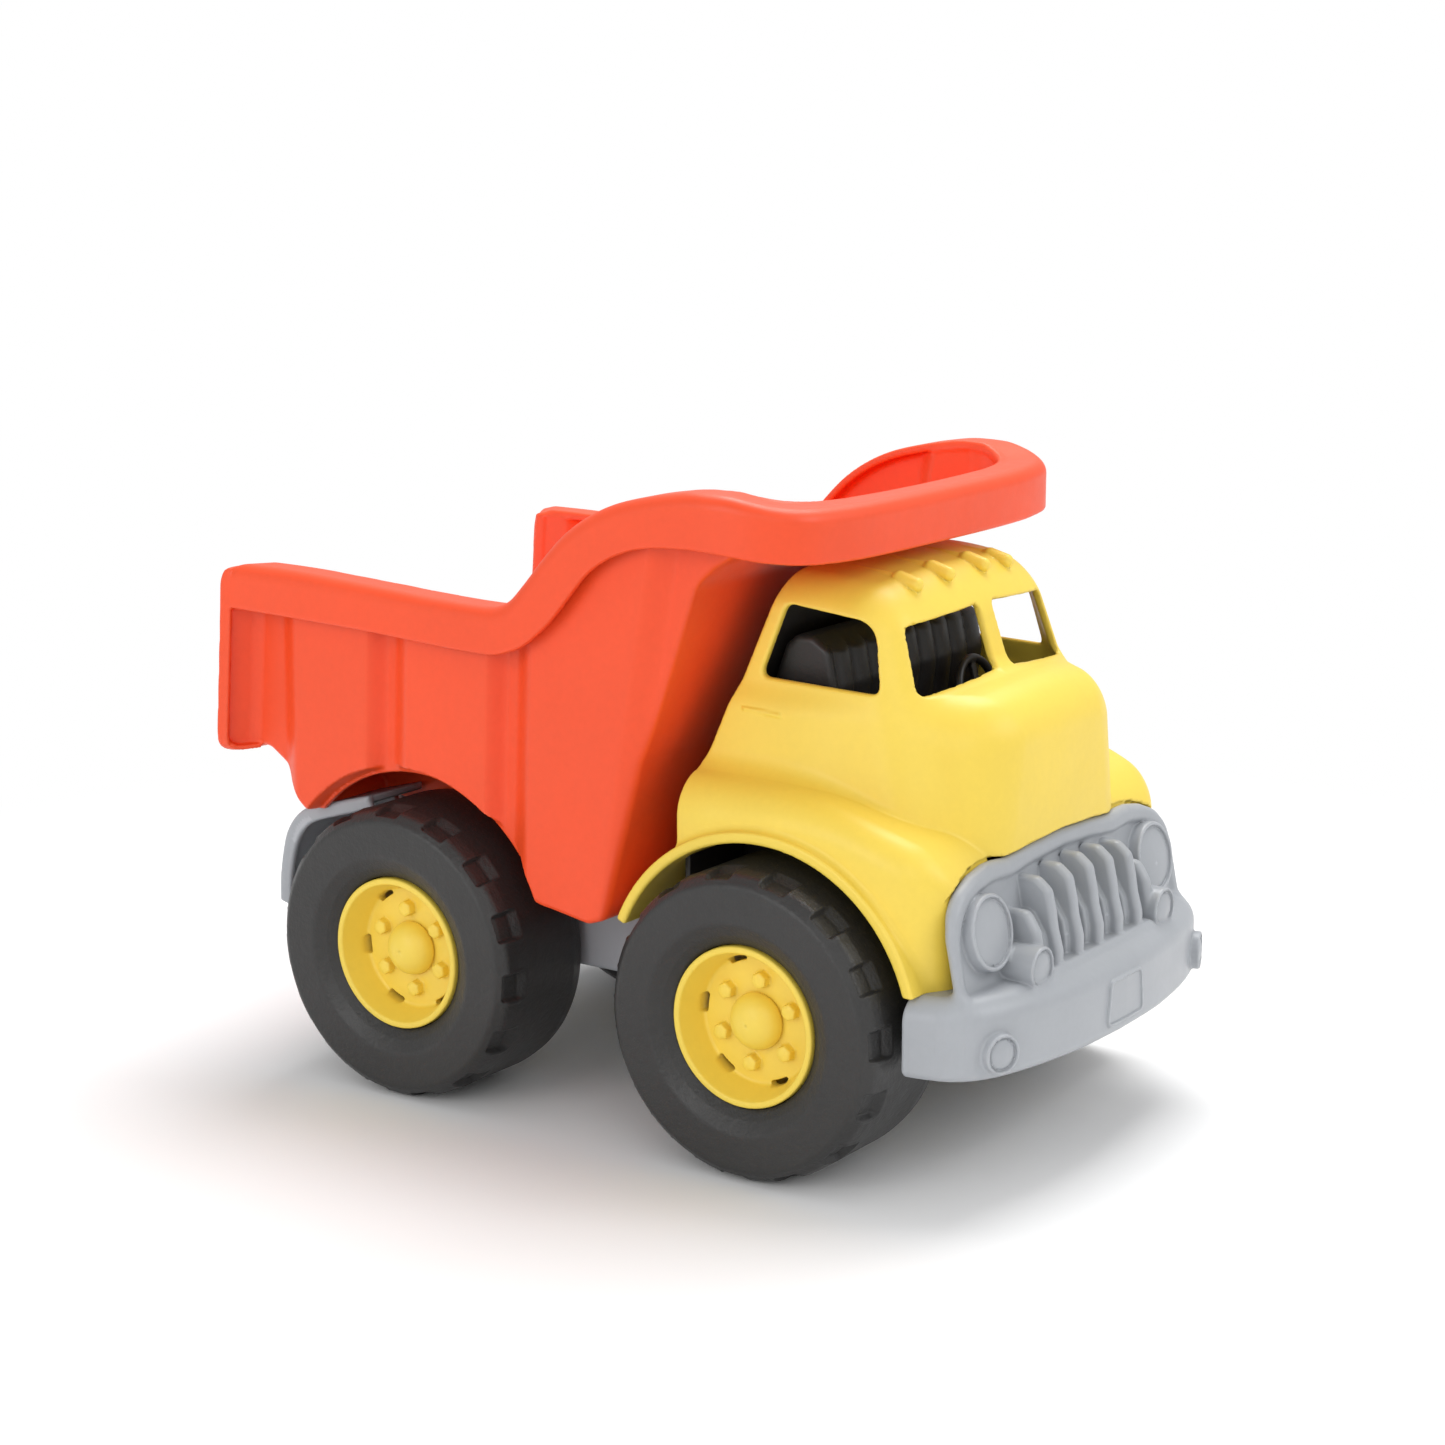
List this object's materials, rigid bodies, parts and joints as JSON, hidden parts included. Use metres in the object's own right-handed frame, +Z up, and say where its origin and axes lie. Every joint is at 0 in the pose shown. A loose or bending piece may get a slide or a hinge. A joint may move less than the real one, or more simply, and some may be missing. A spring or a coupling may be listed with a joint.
{
  "type": "toy dump truck",
  "caption": "Chunky moulded-plastic toy dump truck: tipping open-backed bed with a canopy bar over the cab, free-rolling wide tyres, bull-nosed bumper.",
  "frame": {"origin": "middle of the footprint of the bounding box, on the ground", "axes": "+X towards the front of the truck, +Y to its left, +Z up"},
  "size_m": [0.2762, 0.167, 0.1919],
  "materials": {
    "yellow_plastic": "satin moulded plastic",
    "orange_plastic": "satin moulded plastic",
    "grey_plastic": "satin moulded plastic",
    "tyre_plastic": "fine leathery grain",
    "black_plastic": "smooth moulded plastic",
    "screw_steel": "zinc plated"
  },
  "bodies": {
    "truck": {"chassis_frame": "grey_plastic", "cab_shell": "yellow_plastic", "grille_bumper": "grey_plastic", "cab_interior": "black_plastic", "steering_wheel": "black_plastic", "front_axle": "black_plastic", "rear_axle": "black_plastic", "bed_hinge_pin": "black_plastic", "cab_screw_1": "screw_steel", "cab_screw_2": "screw_steel", "cab_screw_3": "screw_steel", "cab_screw_4": "screw_steel", "grille_screw_1": "screw_steel", "grille_screw_2": "screw_steel"},
    "bed": {"dump_bed": "orange_plastic"},
    "wheel_front_left": {"front_left_tyre": "tyre_plastic", "front_left_hub": "yellow_plastic", "front_left_hub_cap": "yellow_plastic"},
    "wheel_front_right": {"front_right_tyre": "tyre_plastic", "front_right_hub": "yellow_plastic", "front_right_hub_cap": "yellow_plastic"},
    "wheel_rear_left": {"rear_left_tyre": "tyre_plastic", "rear_left_hub": "yellow_plastic", "rear_left_hub_cap": "yellow_plastic"},
    "wheel_rear_right": {"rear_right_tyre": "tyre_plastic", "rear_right_hub": "yellow_plastic", "rear_right_hub_cap": "yellow_plastic"}
  },
  "joints": [
    {"name": "bed_tip", "type": "hinge", "parent": "truck", "child": "bed", "pos_m": [-0.11495, 0, 0.08], "axis": [0, -1, 0], "range_deg": [0, 45]},
    {"name": "front_left_roll", "type": "hinge", "parent": "truck", "child": "wheel_front_left", "pos_m": [0.06005, 0, 0.04455], "axis": [0, 1, 0], "continuous": true},
    {"name": "front_right_roll", "type": "hinge", "parent": "truck", "child": "wheel_front_right", "pos_m": [0.06005, 0, 0.04455], "axis": [0, 1, 0], "continuous": true},
    {"name": "rear_left_roll", "type": "hinge", "parent": "truck", "child": "wheel_rear_left", "pos_m": [-0.06595, 0, 0.04455], "axis": [0, 1, 0], "continuous": true},
    {"name": "rear_right_roll", "type": "hinge", "parent": "truck", "child": "wheel_rear_right", "pos_m": [-0.06595, 0, 0.04455], "axis": [0, 1, 0], "continuous": true}
  ]
}
